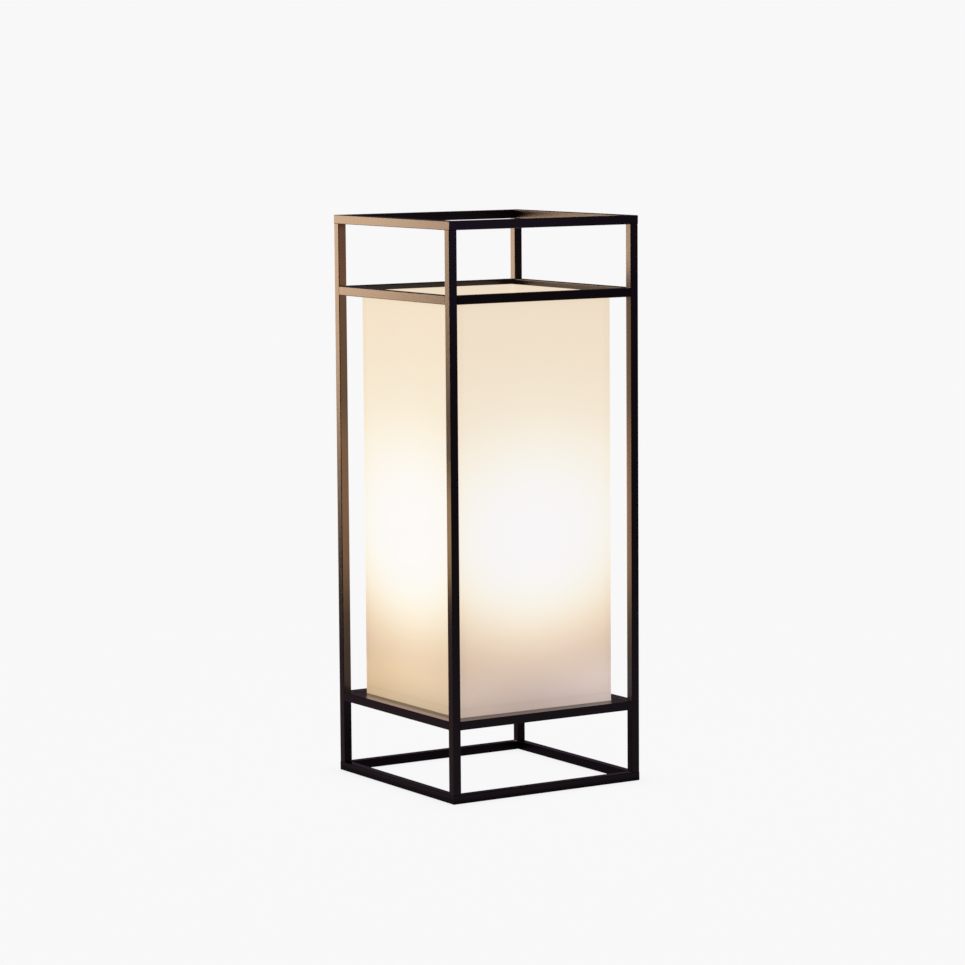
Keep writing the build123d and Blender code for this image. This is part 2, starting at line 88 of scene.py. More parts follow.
ahead = Vector((sin(turned_by) * cos(tilted_down), cos(turned_by) * cos(tilted_down), -sin(tilted_down)))
level_right = Vector((cos(turned_by), -sin(turned_by), 0))
level_up = level_right.cross(ahead)
right = level_right * cos(rolled) + level_up * sin(rolled)
up = level_up * cos(rolled) - level_right * sin(rolled)
aim = Vector((0, 0, aim_height)) + right * aim_right + up * aim_up

bpy.ops.object.select_all(action="DESELECT")
bpy.ops.object.camera_add()
camera = bpy.context.object
camera.name = "camera"
camera.data.sensor_width = 36.0
camera.data.lens = camera.data.sensor_width * focal_length / picture_side
turn = Matrix((right, up, -ahead)).transposed().to_4x4()
camera.matrix_world = Matrix.Translation(aim - ahead * camera_distance) @ turn
bpy.context.scene.camera = camera
print("lens", round(camera.data.lens, 1), "mm, camera at", [round(v, 3) for v in camera.location])

# %% [markdown]
# ## Background
# The lantern stands in a white studio. The backdrop is bright only to the camera: to the metal it is a dim
# room, so that the dark paint stays dark. A Light Path node tells the two apart. The Standard view transform
# shows colours as they are set, which keeps the white even.

# %% Background
scene = bpy.context.scene
scene.view_settings.view_transform = "Standard"
studio_white = 0.939
room_colour = (0.085, 0.060, 0.080, 1)
world = bpy.data.worlds.new("studio")
scene.world = world
world.use_nodes = True
sky = world.node_tree
room = sky.nodes["Background"]
room.inputs["Color"].default_value = room_colour
backdrop = sky.nodes.new("ShaderNodeBackground")
backdrop.inputs["Color"].default_value = (studio_white, studio_white, studio_white, 1)
path = sky.nodes.new("ShaderNodeLightPath")
either = sky.nodes.new("ShaderNodeMixShader")
sky.links.new(path.outputs["Is Camera Ray"], either.inputs["Fac"])
sky.links.new(room.outputs["Background"], either.inputs[1])
sky.links.new(backdrop.outputs["Background"], either.inputs[2])
sky.links.new(either.outputs["Shader"], sky.nodes["World Output"].inputs["Surface"])
print("room seen by the metal:", room_colour[:3])

# %% [markdown]
# ## Helpers for nodes
# Each finish is one Principled surface with a few nodes in front of it. These helpers make a finish, add
# a node, and do a sum on two sockets or numbers, so that every finish below reads as a short recipe.

# %% Helpers for nodes
def new_finish(name, **sockets):
    """A material with a Principled surface, and that surface. Constants are set on the sockets."""
    material = bpy.data.materials.new(name)
    material.use_nodes = True
    surface = material.node_tree.nodes["Principled BSDF"]
    for socket, value in sockets.items():
        surface.inputs[socket.replace("_", " ")].default_value = value
    return material, surface


def add_node(material, kind, **inputs):
    """A node with its inputs set: a number or colour is written in, an output is joined on."""
    node = material.node_tree.nodes.new(kind)
    for name, value in inputs.items():
        feed(material, value, node.inputs[name.replace("_", " ")])
    return node


def feed(material, value, socket):
    """Writes a number or colour into an input, or joins an output on."""
    if isinstance(value, bpy.types.NodeSocket):
        material.node_tree.links.new(value, socket)
    else:
        socket.default_value = value


def calc(material, operation, *values):
    """One Math node, and its result."""
    node = material.node_tree.nodes.new("ShaderNodeMath")
    node.operation = operation
    for value, socket in zip(values, node.inputs):
        feed(material, value, socket)
    return node.outputs["Value"]


def vector_calc(material, operation, first, second, output="Vector"):
    """One Vector Math node, and its result."""
    node = material.node_tree.nodes.new("ShaderNodeVectorMath")
    node.operation = operation
    feed(material, first, node.inputs[0])
    feed(material, second, node.inputs[1])
    return node.outputs[output]


# %% [markdown]
# ## Helpers for patterns
# A pattern that starts from the place on the lantern needs no unwrapping, and its marks have a real size.
# These helpers give that place, noise, a number or a colour between two others, and bumps of a real depth.

# %% Helpers for patterns
def place_of(material):
    """Where a point lies on the lantern, in metres."""
    return material.node_tree.nodes.new("ShaderNodeTexCoord").outputs["Object"]


def grain(material, size, detail=2.0):
    """Noise whose marks are about that size, in metres, around 0.5."""
    node = add_node(material, "ShaderNodeTexNoise", Vector=place_of(material), Scale=1 / size, Detail=detail)
    return node.outputs["Fac"]


def between(material, amount, low, high, start=0.0, end=1.0, ease="LINEAR"):
    """The amount, from start to end, as a number from low to high."""
    node = add_node(
        material,
        "ShaderNodeMapRange",
        Value=amount,
        From_Min=start,
        From_Max=end,
        To_Min=low,
        To_Max=high,
    )
    node.interpolation_type = ease
    return node.outputs["Result"]


def colour_between(material, amount, first, second):
    """A colour from first to second."""
    node = material.node_tree.nodes.new("ShaderNodeMix")
    node.data_type = "RGBA"
    feed(material, amount, node.inputs[0])
    feed(material, (*first, 1), node.inputs[6])
    feed(material, (*second, 1), node.inputs[7])
    return node.outputs[2]


def raised(material, surface, height, depth, strength=1.0):
    """Bumps of that depth, in metres."""
    bump = add_node(material, "ShaderNodeBump", Height=height, Distance=depth, Strength=strength)
    feed(material, bump.outputs["Normal"], surface.inputs["Normal"])


# %% [markdown]
# ## Paint on the cage
# Powder coat on steel tube is a thick, even skin: nearly black, a little brown, with a satin gloss and
# the fine orange-peel ripple of paint that has melted and flowed in the oven. Two scales of noise carry
# that: a broad one shifts the colour and gloss slightly, and a fine one makes the ripple.

# %% Cage paint
def cage_paint():
    black, brown_black = (0.0070, 0.0042, 0.0042), (0.0110, 0.0068, 0.0062)
    cloud_size, ripple_size, ripple_height = 0.05, 0.0016, 0.000018
    material, surface = new_finish("cage_paint", Specular_IOR_Level=0.5)
    cloud = grain(material, cloud_size, detail=3.0)
    feed(material, colour_between(material, cloud, black, brown_black), surface.inputs["Base Color"])
    feed(material, between(material, cloud, 0.22, 0.28), surface.inputs["Roughness"])
    raised(material, surface, grain(material, ripple_size), ripple_height)
    return material


frame_paint = cage_paint()
print("paint:", frame_paint.name)

# %% [markdown]
# ## Glow of the shade
# The shade is opal acrylic with a lamp standing inside it. A wall is brightest where it is nearest the
# lamp, and the light falls off steeply with distance. A second, even glow comes from light that bounces
# about inside, and there is more of it above the lamp, where the lampholder throws no shadow. All of it is
# worked out from the place on the lantern, so the glow needs no picture.

# %% Glow of the shade
wall_distance = -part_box("shade_front")[0].y
lamp_low, lamp_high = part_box("lamp_globe")
light_depth = 0.033  # below the crown of the globe
light_centre = Vector((0, 0, lamp_high.z - light_depth))


def lamp_glow(material, place, height):
    """How strongly the lamp lights a place on the shade, from about 0.7 at the foot to 14."""
    spot_level = 15.0
    fall_off = 2.5  # power of the squared distance
    side_share = 0.73  # how much sideways distance counts
    even_low, even_high = 0.17, 2.38  # level of the even glow under and over the lamp
    even_start, even_end = 0.25, 0.39  # heights between which it changes
    away = vector_calc(material, "SUBTRACT", place, light_centre)
    away = vector_calc(material, "MULTIPLY", away, (side_share, side_share, 1))
    square = vector_calc(material, "DOT_PRODUCT", away, away, output="Value")
    # The sum keeps the nearest place on a wall at its full level
    square = calc(material, "ADD", square, wall_distance**2 * (1 - side_share**2))
    near = calc(material, "POWER", square, -fall_off)
    spot = calc(material, "MULTIPLY", near, spot_level * wall_distance ** (2 * fall_off))
    even = between(material, height, even_low, even_high, even_start, even_end, ease="SMOOTHSTEP")
    return calc(material, "ADD", spot, even)


print("light at", [round(v, 4) for v in light_centre], "and", round(wall_distance, 4), "from the walls")

# %% [markdown]
# ## Lit opal sheet
# A few marks in the glow show that the shade is built from sheet: the soft shadow of the lip behind its foot,
# and painted shade along the glued strips at the corners and along the seam round the top, where less light
# comes through. Bright light also loses its colour on film: each channel climbs towards white and never
# passes it, which is what the last step does.

# %% Lit opal sheet
lip_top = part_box("tray_lip")[1].z
shade_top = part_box("shade_top")[1].z
glow_tint = (1.0, 0.61, 0.345)


def sheet_marks(material, place, height, on_top):
    """A glow factor near 1: the lip's shadow at the foot, painted shade at the glued corners and the top
    seam.
    """
    line_height, line_core, line_edge, line_level = lip_top - 0.001, 0.0005, 0.0022, 0.86
    strip_start, strip_edge, strip_level = wall_distance - 0.0095, 0.002, 0.93
    seam_start, seam_end, seam_dimming = wall_distance - 0.0036, wall_distance - 0.0030, 0.08
    off_line = calc(material, "ABSOLUTE", calc(material, "SUBTRACT", height, line_height))
    lip_shadow = between(material, off_line, line_level, 1.0, line_core, line_edge, ease="SMOOTHSTEP")
    parts = add_node(material, "ShaderNodeSeparateXYZ", Vector=place)
    across = calc(material, "ABSOLUTE", parts.outputs["X"])
    along = calc(material, "ABSOLUTE", parts.outputs["Y"])
    sideways = calc(material, "MINIMUM", across, along)
    # Painted shade: the glow is a little darker along the glued strips at the vertical corners
    strip_end = strip_start + strip_edge
    strip = between(material, sideways, 1.0, strip_level, strip_start, strip_end, ease="SMOOTHSTEP")
    # Painted shade: the glow of the top is a little darker along the seam over the walls
    outwards = calc(material, "MAXIMUM", across, along)
    seam = between(material, outwards, 0.0, seam_dimming, seam_start, seam_end)
    seam = calc(material, "SUBTRACT", 1.0, calc(material, "MULTIPLY", seam, on_top))
    return calc(material, "MULTIPLY", calc(material, "MULTIPLY", lip_shadow, strip), seam)


def opal_sheet():
    film_white = 0.81  # the level that bright light climbs to
    cloud_low, cloud_high = 0.985, 1.015  # how much the sheet's cloudiness changes the glow
    top_gain = 1.07  # the top also catches the light that the walls throw up
    top_skin = 0.0002  # what lies this close under the top counts as top
    cloud_size = 0.03
    material, surface = new_finish("opal_sheet_lit", Roughness=0.38, Specular_IOR_Level=0.3)
    place = place_of(material)
    height = add_node(material, "ShaderNodeSeparateXYZ", Vector=place).outputs["Z"]
    on_top = calc(material, "GREATER_THAN", height, shade_top - top_skin)
    feed(material, between(material, on_top, 1.0, top_gain), surface.inputs["Emission Strength"])
    cloud = grain(material, cloud_size, detail=3.0)
    marks = sheet_marks(material, place, height, on_top)
    level = calc(material, "MULTIPLY", lamp_glow(material, place, height), marks)
    level = calc(material, "MULTIPLY", level, between(material, cloud, cloud_low, cloud_high))
    glow = add_node(material, "ShaderNodeCombineColor")
    for channel, tint in zip(("Red", "Green", "Blue"), glow_tint):
        left_over = calc(material, "EXPONENT", calc(material, "MULTIPLY", level, -tint))
        shown = calc(material, "MULTIPLY", calc(material, "SUBTRACT", 1.0, left_over), film_white)
        feed(material, shown, glow.inputs[channel])
    feed(material, glow.outputs["Color"], surface.inputs["Emission Color"])
    pale = colour_between(material, cloud, (0.66, 0.64, 0.61), (0.70, 0.68, 0.65))
    feed(material, pale, surface.inputs["Base Color"])
    return material


shade_opal = opal_sheet()
print("opal sheet:", len(shade_opal.node_tree.nodes), "nodes")

# %% [markdown]
# ## Metals inside
# Bare metal shows colour only in its reflections, so these finishes are fully metallic and differ in
# tint and in how blurred they are. Noise stands for handling: a zinc plate that is bluer in places, and
# brass and nickel that have gone a little dull.

# %% Metals inside
def bare_metal(name, bright, dull, smooth, rough, mark):
    """Metal that runs from a bright, smooth state to a dull, rougher one in marks of that size."""
    material, surface = new_finish(name, Metallic=1.0)
    worn = grain(material, mark, detail=4.0)
    feed(material, colour_between(material, worn, bright, dull), surface.inputs["Base Color"])
    feed(material, between(material, worn, smooth, rough), surface.inputs["Roughness"])
    scratch_size, scratch_depth = mark / 8, mark / 400
    raised(material, surface, grain(material, scratch_size), scratch_depth)
    return material


zinc_steel = bare_metal(
    "zinc_plate", (0.62, 0.64, 0.68), (0.56, 0.55, 0.50), smooth=0.26, rough=0.42, mark=0.006
)
brass = bare_metal(
    "brass_bare", (0.78, 0.57, 0.28), (0.62, 0.42, 0.18), smooth=0.20, rough=0.36, mark=0.005
)
nickel = bare_metal(
    "nickel_plate", (0.72, 0.69, 0.64), (0.60, 0.57, 0.52), smooth=0.16, rough=0.30, mark=0.008
)
aluminium = bare_metal(
    "aluminium_board", (0.80, 0.81, 0.82), (0.70, 0.71, 0.72), smooth=0.24, rough=0.36, mark=0.004
)
print("metals made: zinc, brass, nickel, aluminium")

# %% [markdown]
# ## Moulded and fired pieces
# Plastic housings come out of a spark-eroded mould with a fine, even grain. Rubber is the same but duller
# and softer. The core of the lampholder is glazed porcelain, so a clear coat lies over its slightly
# uneven white.

# %% Moulded and fired pieces
def moulded(name, first, second, smooth, rough, grain_size, grain_depth, **sockets):
    """A moulded surface between two near colours, with a fine grain of that size and depth."""
    cloud_size = grain_size * 12
    material, surface = new_finish(name, **sockets)
    cloud = grain(material, cloud_size, detail=3.0)
    feed(material, colour_between(material, cloud, first, second), surface.inputs["Base Color"])
    feed(material, between(material, cloud, smooth, rough), surface.inputs["Roughness"])
    raised(material, surface, grain(material, grain_size), grain_depth)
    return material


black_plastic = moulded(
    "black_moulding", (0.016, 0.016, 0.017), (0.026, 0.025, 0.025),
    smooth=0.42, rough=0.52, grain_size=0.0008, grain_depth=0.00003,
)
white_plastic = moulded(
    "white_moulding", (0.78, 0.77, 0.74), (0.83, 0.82, 0.79),
    smooth=0.34, rough=0.42, grain_size=0.0010, grain_depth=0.00001,
)
rubber = moulded(
    "seal_rubber", (0.018, 0.018, 0.018), (0.036, 0.034, 0.032),
    smooth=0.72, rough=0.84, grain_size=0.0006, grain_depth=0.00004,
)
porcelain = moulded(
    "glazed_porcelain", (0.80, 0.78, 0.73), (0.86, 0.84, 0.80),
    smooth=0.30, rough=0.40, grain_size=0.0030, grain_depth=0.00003, Coat_Weight=0.6, Coat_Roughness=0.06,
)
print("moulded and fired: black and white plastic, rubber, porcelain")

# %% [markdown]
# ## Leads
# Live is brown and neutral is blue. Earth is green with a yellow stripe along it, so its finish looks at
# which side of the lead's own centre line a place lies.

# %% Leads
lead_skin = {"smooth": 0.36, "rough": 0.46, "grain_size": 0.0008, "grain_depth": 0.00001}
live = moulded("lead_brown", (0.100, 0.038, 0.018), (0.135, 0.052, 0.024), **lead_skin)
neutral = moulded("lead_blue", (0.012, 0.060, 0.300), (0.018, 0.080, 0.360), **lead_skin)


def striped_lead():
    green, yellow = (0.03, 0.19, 0.04), (0.72, 0.53, 0.03)
    stripe_start, stripe_end = 0.0002, 0.0003  # off the centre line
    cloud_size = 0.004
    material, surface = new_finish("lead_green_yellow", Specular_IOR_Level=0.5)
    low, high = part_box("earth_lead")
    middle = (low + high) / 2
    parts = add_node(material, "ShaderNodeSeparateXYZ", Vector=place_of(material))
    off_centre = calc(material, "SUBTRACT", parts.outputs["X"], middle.x)
    stripe = between(material, off_centre, 0.0, 1.0, stripe_start, stripe_end)
    feed(material, colour_between(material, stripe, green, yellow), surface.inputs["Base Color"])
    cloud = grain(material, cloud_size)
    rough = between(material, cloud, lead_skin["smooth"], lead_skin["rough"])
    feed(material, rough, surface.inputs["Roughness"])
    return material


earth = striped_lead()
print("leads made: brown, blue, green and yellow")

# %% [markdown]
# ## Lamp globe
# The globe is only seen when the shade is lifted off. It glows from the board under it, so it is nearly
# white all over and a little warmer and dimmer at the crown and where the housing holds it.

# %% Lamp globe
def lamp_opal():
    pale_glow, warm_glow = (0.92, 0.88, 0.78), (0.86, 0.72, 0.50)
    even_belt = 0.006  # half the height of the evenly lit part
    cloud_size = 0.02
    material, surface = new_finish("lamp_globe_lit", Roughness=0.30, Specular_IOR_Level=0.4)
    surface.inputs["Emission Strength"].default_value = 1.0
    height = add_node(material, "ShaderNodeSeparateXYZ", Vector=place_of(material)).outputs["Z"]
    middle = (lamp_low.z + lamp_high.z) / 2
    off_middle = calc(material, "ABSOLUTE", calc(material, "SUBTRACT", height, middle))
    cloud = between(material, grain(material, cloud_size), -0.05, 0.05)
    dim = between(material, off_middle, 0.0, 1.0, even_belt, lamp_high.z - middle, ease="SMOOTHSTEP")
    dim = calc(material, "ADD", dim, cloud)
    feed(material, colour_between(material, dim, pale_glow, warm_glow), surface.inputs["Emission Color"])
    surface.inputs["Base Color"].default_value = (0.70, 0.68, 0.64, 1)
    return material


globe_opal = lamp_opal()
print("globe:", globe_opal.name)

# %% [markdown]
# ## Put the finishes on
# Each solid came in with the name of its material on it, so one loop hands out the finishes.

# %% Finishes onto the solids
finishes = {
    "frame_paint": frame_paint,
    "opal_sheet": shade_opal,
    "zinc_steel": zinc_steel,
    "brass": brass,
    "nickel": nickel,
    "board_aluminium": aluminium,
    "black_plastic": black_plastic,
    "white_plastic": white_plastic,
    "seal_rubber": rubber,
    "porcelain": porcelain,
    "lead_brown": live,
    "lead_blue": neutral,
    "lead_green": earth,
    "lamp_opal": globe_opal,
}
for node in nodes.values():
    slot = node.material_slots[0]
    slot.material = finishes[slot.material.name]
print("finishes:", len(finishes), "on", len(nodes), "pieces")

# %% [markdown]
# ## Winding a thread
# A thread is one wave of metal carried round an axis and up. In Blender that is a short line, one pitch
# tall, which the Screw modifier winds round Z into a tube. The line is drawn by extruding one vertex from
# point to point. The wound tube is then cut level at both ends. A cut takes in every point that lies close to
# it, and the usual distance for that is too coarse for a fine thread.

# %% Winding a thread
touching = 0.000002  # points this close count as one
exact = 0.0000001  # how close a point lies to a cut to be taken in: the usual 0.1 mm would tear a thread
thread_steps = 36  # points in one turn
run_up = 1.5  # pitches wound below the first cut
spare_turns = 4


def draw_line(name, points):
    """A line through points of radius and height, drawn by extruding one vertex from point to point."""
    any_size = 0.002  # the corners of this plane are merged into the first vertex
    bpy.ops.object.select_all(action="DESELECT")
    bpy.ops.mesh.primitive_plane_add(size=any_size)
    piece = bpy.context.object
    piece.name = name
    bpy.ops.object.mode_set(mode="EDIT")
    bpy.ops.mesh.select_mode(type="VERT")
    bpy.ops.mesh.select_all(action="SELECT")
    bpy.ops.mesh.merge(type="CENTER")
    bpy.ops.transform.translate(value=(points[0][0], 0, points[0][1]))
    for before, after in zip(points, points[1:]):
        step = (after[0] - before[0], 0, after[1] - before[1])
        bpy.ops.mesh.extrude_vertices_move(TRANSFORM_OT_translate={"value": step})
    bpy.ops.object.mode_set(mode="OBJECT")
    return piece


def wind(piece, pitch, length):
    """Carries the line round Z, one pitch up for each turn, over that length and a little more."""
    screw = piece.modifiers.new("wind", "SCREW")
    screw.screw_offset = pitch
    screw.iterations = int(length / pitch) + spare_turns
    screw.steps = thread_steps
    screw.render_steps = thread_steps
    bpy.ops.object.modifier_apply(modifier=screw.name)


def cut_level(low, high):
    """Joins one turn to the next and cuts the wound tube level at both heights."""
    bpy.ops.object.mode_set(mode="EDIT")
    bpy.ops.mesh.select_all(action="SELECT")
    bpy.ops.mesh.remove_doubles(threshold=touching)
    for height, way in ((low, -1), (high, 1)):
        bpy.ops.mesh.select_all(action="SELECT")
        bpy.ops.mesh.bisect(
            plane_co=(0, 0, height), plane_no=(0, 0, way), clear_outer=True, threshold=exact
        )


# %% [markdown]
# ## Closing the ends
# The ends of a wound tube are carried on to plain rings. The first step is a bridge, from the cut end, which
# isn't round, to a circle. The rings after that are extruded and resized, one from the other, because a
# bridge between two rings round one centre can run the wrong way. Rings are picked by radius and height.

# %% Closing the ends
any_radius = None  # given as the radius where only the height counts


def on_ring(place, radius, height):
    """Whether a place lies on the ring of that radius and height."""
    level = abs(place.z - height) < touching
    return level and (radius is any_radius or abs(place.xy.length - radius) < touching)


def pick(piece, *rings):
    """Selects rings, each given as radius and height."""
    bpy.ops.mesh.select_all(action="DESELECT")
    bpy.ops.object.mode_set(mode="OBJECT")
    for vertex in piece.data.vertices:
        vertex.select = any(on_ring(vertex.co, *ring) for ring in rings)
    bpy.ops.object.mode_set(mode="EDIT")
    bpy.ops.mesh.select_mode(type="VERT")


def add_rings(piece, cut_end, first, *others):
    """Carries the tube on: a bridge from its cut end to a plain ring, then an extrusion from ring to ring."""
    bpy.ops.mesh.primitive_circle_add(vertices=thread_steps, radius=first[0], location=(0, 0, first[1]))
    pick(piece, cut_end, first)
    bpy.ops.mesh.bridge_edge_loops()
    for before, after in zip((first, *others), others):
        pick(piece, before)
        bpy.ops.mesh.extrude_edges_move(TRANSFORM_OT_translate={"value": (0, 0, after[1] - before[1])})
        wider = after[0] / before[0]
        bpy.ops.transform.resize(value=(wider, wider, 1), center_override=(0, 0, after[1]))


def carry(piece, ring, rise):
    """A straight tube from an open ring to an equal one at its other end, joined on there."""
    pick(piece, ring)
    bpy.ops.mesh.extrude_edges_move(TRANSFORM_OT_translate={"value": (0, 0, rise)})
    bpy.ops.mesh.select_all(action="SELECT")
    bpy.ops.mesh.remove_doubles(threshold=touching)


# %% [markdown]
# ## Finishing a threaded piece
# The last steps are the same for every threaded piece. Rolled sheet gets its thickness, inwards, and the
# piece takes its finish, its body and the place of the plain solid that it stands for. Two lines then tell
# whether it came out well: its radius beside that of the solid, and how many edges don't join two faces.

# %% Finishing a threaded piece
thread_smooth_angle = radians(40)


def count_bad_edges(piece):
    """Edges that don't join exactly two faces. A closed piece has none."""
    bpy.ops.object.mode_set(mode="EDIT")
    bpy.ops.mesh.select_mode(type="EDGE")
    bpy.ops.mesh.select_all(action="DESELECT")
    bpy.ops.mesh.select_non_manifold()
    bpy.ops.object.mode_set(mode="OBJECT")
    return sum(edge.select for edge in piece.data.edges)


def settle(piece, node, finish, sheet=0.0):
    """Ends the modelling: sheet thickness inwards, clean normals, and the solid that the piece stands for."""
    bpy.ops.mesh.select_all(action="SELECT")
    bpy.ops.mesh.normals_make_consistent(inside=False)
    bpy.ops.object.mode_set(mode="OBJECT")
    if sheet:
        # An open sheet has no inside, so its normals may point either way
        outwards = sum(face.area * face.normal.xy.dot(face.center.xy) for face in piece.data.polygons) > 0
        solid = piece.modifiers.new("sheet", "SOLIDIFY")
        solid.thickness = sheet
        solid.offset = -1.0 if outwards else 1.0
        bpy.ops.object.modifier_apply(modifier=solid.name)
    bpy.ops.object.shade_smooth_by_angle(angle=thread_smooth_angle)
    piece.data.materials.append(finishes[finish])
    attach(piece, nodes[node]["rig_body"])
    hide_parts(node)
    radius, solid_radius = round(piece.dimensions.x / 2, 5), round(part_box(node)[1].x, 5)
    print(piece.name, len(piece.data.polygons), "faces, radius", radius, "of", solid_radius)
    print("  open or crossing edges:", count_bad_edges(piece))


# %% [markdown]
# ## Threaded stem
# The lampholder stands on a length of threaded tube, the kind sold by the metre for lamps. The thread is
# cut, so its line has two sloping flanks with a narrow flat at the crest and the root. The ends are
# chamfered and the bore runs right through for the leads.

# %% Threaded stem
stem_low, stem_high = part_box("stem")
foot, top = stem_low.z, stem_high.z
crest = stem_high.x
root = crest - 0.00055
stem_pitch = 0.001
bore = 0.0038
chamfer = 0.0004
end_radius = root - 0.0001
start = foot - run_up * stem_pitch
flanks = [(root, 0), (root, 0.12), (crest, 0.44), (crest, 0.56), (root, 0.88), (root, 1.0)]
stem = draw_line("threaded_stem", [(radius, start + share * stem_pitch) for radius, share in flanks])
wind(stem, stem_pitch, top - foot)
cut_level(foot + chamfer, top - chamfer)
add_rings(stem, (any_radius, foot + chamfer), (end_radius, foot), (bore, foot))
add_rings(stem, (any_radius, top - chamfer), (end_radius, top), (bore, top))
carry(stem, (bore, top), foot - top)
settle(stem, "stem", "zinc_steel")

# %% [markdown]
# ## Rolled screw cap of the lamp
# The cap is thin sheet with its thread rolled in, so the line is a smooth wave and the inside follows the
# outside. Above the thread comes a plain collar that holds the housing, and below it the sheet turns in
# to the insulator.

# %% Rolled screw cap
def wave(low_radius, high_radius, pitch, start, points=12):
    """One pitch of a rolled thread, from root to root."""
    middle = (low_radius + high_radius) / 2
    swing = (high_radius - low_radius) / 2
    return [
        (middle - swing * cos(2 * pi * i / points), start + pitch * i / points) for i in range(points + 1)
    ]


rolled_sheet = 0.0004  # its thickness
cap_low, cap_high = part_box("lamp_cap")
cap_r = cap_high.x
cap_pitch = 0.0036
cap_root = cap_r - 0.00085
thread_foot = cap_low.z + 0.0030
thread_top = cap_high.z - 0.0032
turn_in = cap_low.z + 0.0018  # below this height the sheet turns in
tip_radius = 0.0115
collar_foot = cap_high.z - 0.0018
cap = draw_line("rolled_cap", wave(cap_root, cap_r, cap_pitch, thread_foot - run_up * cap_pitch))
wind(cap, cap_pitch, thread_top - thread_foot)
cut_level(thread_foot, thread_top)
add_rings(cap, (any_radius, thread_foot), (cap_root, turn_in), (tip_radius, cap_low.z))
add_rings(cap, (any_radius, thread_top), (cap_r, collar_foot), (cap_r, cap_high.z))
settle(cap, "lamp_cap", "nickel", sheet=rolled_sheet)

# %% [markdown]
# ## Rolled sleeve of the lampholder
# The sleeve that takes the cap is rolled the same way, a little wider. Its foot turns in to a flat ring
# that is held down on the porcelain.

# %% Rolled sleeve
sleeve_low, sleeve_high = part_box("screw_sleeve")
sleeve_r = sleeve_high.x
sleeve_root = sleeve_r - 0.00045
thread_foot = sleeve_low.z + 0.0024
thread_top = sleeve_high.z - 0.0016
eye = 0.008  # radius of the hole in its foot
mouth = sleeve_r - 0.0001
mouth_foot = sleeve_high.z - 0.0008
sleeve = draw_line("rolled_sleeve", wave(sleeve_root, sleeve_r, cap_pitch, thread_foot - run_up * cap_pitch))
wind(sleeve, cap_pitch, thread_top - thread_foot)
cut_level(thread_foot, thread_top)
add_rings(sleeve, (any_radius, thread_foot), (sleeve_root, sleeve_low.z), (eye, sleeve_low.z))
add_rings(sleeve, (any_radius, thread_top), (mouth, mouth_foot), (mouth, sleeve_high.z))
settle(sleeve, "screw_sleeve", "brass", sheet=rolled_sheet)

# %% [markdown]
# ## One stitch weld
# The gussets that carry the tray are welded to the rails with short stitches, two to a rail. A weld bead is a
# row of puddles, each laid over the one before, so it is rippled along its length and thin at both ends. It
# starts as a disc that is extruded in small steps, a little wider and a little narrower by turns. Two cuts
# leave the quarter that fills the corner between gusset and rail.

# %% One stitch weld
gusset_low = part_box("corner_gussets")[0]
rail_face, underside = gusset_low.y, gusset_low.z
bead_radius = 0.0019
bead_length = 0.018
bead_middle = rail_face + 0.032
bead_points = 20  # round the bead
thin_end = 0.3  # least size, as a share of the full radius
taper = 0.4  # a smaller power keeps the bead full for longer
ripples = 10
ripple_depth = 0.10
bead_steps = 2 * ripples
corner_line = (bead_middle - bead_length / 2, rail_face, underside)


def bead_size(i):
    """Size of the bead after i steps, as a share of its full radius."""
    fullness = max(thin_end, sin(pi * i / bead_steps) ** taper)
    return fullness * (1 + ripple_depth * (-1) ** i)


bpy.ops.object.select_all(action="DESELECT")
bpy.ops.mesh.primitive_circle_add(
    vertices=bead_points,
    radius=bead_radius * bead_size(0),
    fill_type="NGON",
    location=corner_line,
    rotation=(0, pi / 2, 0),
)
welds = bpy.context.object
welds.name = "gusset_welds"
bpy.ops.object.transform_apply(location=True, rotation=True, scale=True)
bpy.ops.object.mode_set(mode="EDIT")
bpy.ops.mesh.select_all(action="SELECT")
for i in range(bead_steps):
    bpy.ops.mesh.extrude_region_move(TRANSFORM_OT_translate={"value": (bead_length / bead_steps, 0, 0)})
    wider = bead_size(i + 1) / bead_size(i)
    bpy.ops.transform.resize(value=(1, wider, wider), center_override=corner_line)
for cut in ((0, -1, 0), (0, 0, 1)):
    bpy.ops.mesh.select_all(action="SELECT")
    bpy.ops.mesh.bisect(plane_co=corner_line, plane_no=cut, use_fill=True, clear_outer=True)
bpy.ops.mesh.select_all(action="SELECT")
bpy.ops.mesh.normals_make_consistent(inside=False)
print("bead:", bead_length, "long in", bead_steps, "steps")

# %% [markdown]
# ## Eight stitch welds
# The bead is copied along its rail, still in Edit Mode, and the pair is then turned round the lantern three
# times by a quarter. The welds were painted with the cage, so they take the same finish.

# %% Eight stitch welds
bead_smooth_angle = radians(50)
bpy.ops.mesh.duplicate_move(TRANSFORM_OT_translate={"value": (-2 * bead_middle, 0, 0)})
bpy.ops.mesh.select_all(action="SELECT")
for quarter in range(3):
    bpy.ops.mesh.duplicate()
    bpy.ops.transform.rotate(value=pi / 2, orient_axis="Z", center_override=(0, 0, 0))
bpy.ops.object.mode_set(mode="OBJECT")
bpy.ops.object.shade_smooth_by_angle(angle=bead_smooth_angle)
welds.data.materials.append(finishes["frame_paint"])
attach(welds, "frame")
print(welds.name, len(welds.data.polygons), "faces, size", [round(v, 4) for v in welds.dimensions])

# %% [markdown]
# ## Floor
# The lantern stands on plain white. A lit floor and a backdrop rarely come out as the same white, so this
# floor is a disc that gives off the backdrop's own white and takes hardly any light. Ambient occlusion
# darkens it a little along the base rails, which is all the shadow that such a bright studio leaves.
# Reflections don't see the disc, or it would light the dark paint from below.

